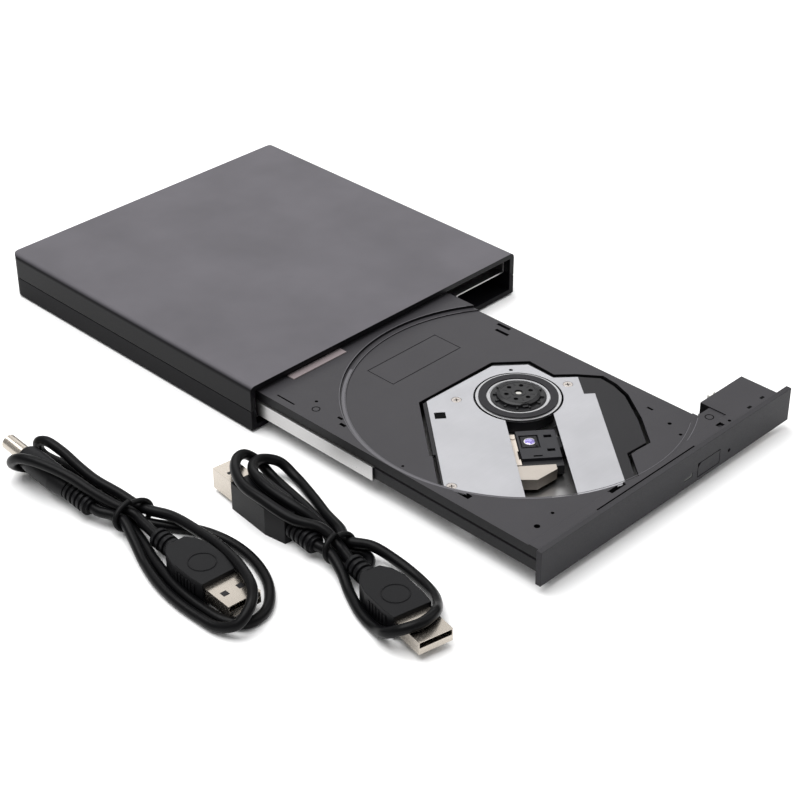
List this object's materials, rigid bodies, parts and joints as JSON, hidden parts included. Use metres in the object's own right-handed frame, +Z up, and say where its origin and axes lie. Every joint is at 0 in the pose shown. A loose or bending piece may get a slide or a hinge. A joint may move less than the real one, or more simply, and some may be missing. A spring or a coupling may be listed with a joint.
{
  "type": "external optical drive",
  "caption": "Slim external optical drive in a two-shell case with its disc tray pulled out, and its power lead and data lead tied in hanks beside it.",
  "frame": {"origin": "middle of the drive's bounding box, tray fully out and leads left out, on the table under the feet", "axes": "+X to the right seen from the front, the bezel and the tray's travel face -Y, +Z up"},
  "size_m": [0.213, 0.264, 0.018],
  "materials": {
    "shell_lower": "fine-grained moulded",
    "shell_upper": "satin grey paint",
    "black_rubber": "matte",
    "dark_screw": "dark zinc",
    "pan_steel": "plain stamped sheet",
    "black_plastic": "matte",
    "circuit_board": "solder resist",
    "flex": "film",
    "shield_steel": "nickel plated",
    "white_plastic": "matte",
    "rail_steel": "bright rolled",
    "tray_plastic": "fine-textured moulded",
    "bezel_plastic": "fine-grained moulded",
    "clear_plastic": "clear",
    "foam": "soft foam",
    "plate_steel": "fine brushed",
    "plate_screw": "bright",
    "motor_steel": "plain",
    "bronze": "sintered",
    "rod_steel": "ground and polished",
    "copper_coil": "enamelled wire",
    "rotor_metal": "dark coated",
    "turntable_metal": "turned",
    "hub_plastic": "satin",
    "cast_metal": "dark die casting",
    "laser_metal": "plain",
    "cover_plastic": "matte",
    "lens_glass": "polished, coated",
    "plug_black": "satin moulded",
    "nickel": "nickel plated",
    "cord_black": "satin cord jacket",
    "tie_black": "matte"
  },
  "bodies": {
    "enclosure": {"case_bottom": "shell_lower", "case_top": "shell_upper", "rubber_feet": "black_rubber", "case_screws": "dark_screw", "chassis_pan": "pan_steel", "drive_cover": "pan_steel", "rail_guides": "black_plastic", "main_board": "circuit_board", "flex_cable": "flex", "bridge_board": "circuit_board", "slim_connector": "black_plastic", "usb_b_socket": "shield_steel", "usb_b_insert": "white_plastic", "dc_jack": "black_plastic", "dc_plug_body": "plug_black", "dc_plug_barrel": "nickel", "power_cord_tail": "cord_black", "power_cord_hank": "cord_black", "power_usb_body": "plug_black", "power_usb_shell": "nickel", "usb_b_plug_body": "plug_black", "usb_b_plug_shell": "nickel", "data_cord_tail": "cord_black", "data_cord_hank": "cord_black", "data_usb_body": "plug_black", "data_usb_shell": "nickel", "cable_ties": "tie_black"},
    "rail_left_body": {"rail_left": "rail_steel"},
    "rail_right_body": {"rail_right": "rail_steel"},
    "tray": {"tray_frame": "tray_plastic", "bezel": "bezel_plastic", "light_pipe": "clear_plastic", "foam_strip": "foam", "tray_bottom_cover": "pan_steel", "tray_screws": "dark_screw", "pickup_frame": "black_plastic", "pickup_cover_plate": "plate_steel", "plate_screws": "plate_screw", "dampers": "black_rubber", "spindle_motor": "motor_steel", "spindle_bush": "bronze", "guide_rods": "rod_steel", "sled_motor": "motor_steel", "front_board": "circuit_board", "latch_solenoid": "copper_coil"},
    "spindle": {"spindle_shaft": "rod_steel", "rotor": "rotor_metal", "turntable": "turntable_metal", "turntable_pad": "black_rubber", "disc_hub": "hub_plastic", "clamp_claws": "black_plastic"},
    "sled": {"pickup_carriage": "cast_metal", "laser_block": "laser_metal", "objective_cover": "cover_plastic", "pickup_flex": "flex"},
    "lens_mover": {"lens_holder": "black_plastic", "lens": "lens_glass"},
    "lead_screw_body": {"lead_screw": "rod_steel"},
    "eject_button_body": {"eject_button": "bezel_plastic"},
    "latch": {"latch_hook": "white_plastic"}
  },
  "joints": [
    {"name": "tray_slide", "type": "slide", "parent": "enclosure", "child": "tray", "axis": [0, 1, 0], "range_m": [0, 0.128]},
    {"name": "rail_left_slide", "type": "slide", "parent": "enclosure", "child": "rail_left_body", "axis": [0, 1, 0], "range_m": [0, 0.064]},
    {"name": "rail_right_slide", "type": "slide", "parent": "enclosure", "child": "rail_right_body", "axis": [0, 1, 0], "range_m": [0, 0.064]},
    {"name": "spindle_spin", "type": "hinge", "parent": "tray", "child": "spindle", "pos_m": [-0.0015, -0.067, 0.0095], "axis": [0, 0, 1], "continuous": true},
    {"name": "sled_slide", "type": "slide", "parent": "tray", "child": "sled", "axis": [-0.6374, -0.7705, 0], "range_m": [-0.0025, 0.031]},
    {"name": "lead_screw_spin", "type": "hinge", "parent": "tray", "child": "lead_screw_body", "pos_m": [-0.00026, -0.09139, 0.0093], "axis": [-0.6374, -0.7705, 0], "range_deg": [-302, 3721]},
    {"name": "lens_focus", "type": "slide", "parent": "sled", "child": "lens_mover", "axis": [0, 0, 1], "range_m": [-0.0004, 0.0004], "stiffness_N_per_m": 40},
    {"name": "eject_button_press", "type": "slide", "parent": "tray", "child": "eject_button_body", "axis": [0, 1, 0], "range_m": [0, 0.0008], "stiffness_N_per_m": 800},
    {"name": "latch_hook_turn", "type": "hinge", "parent": "tray", "child": "latch", "pos_m": [0.0468, -0.121, 0.012], "axis": [0, 0, 1], "range_deg": [-8, 0], "stiffness_Nm_per_rad": 0.002}
  ],
  "couplings": [
    {"joint": "rail_left_slide", "follows": "tray_slide", "ratio": 0.5},
    {"joint": "rail_right_slide", "follows": "tray_slide", "ratio": 0.5},
    {"joint": "lead_screw_spin", "follows": "sled_slide", "rad_per_m": 2094.4}
  ]
}
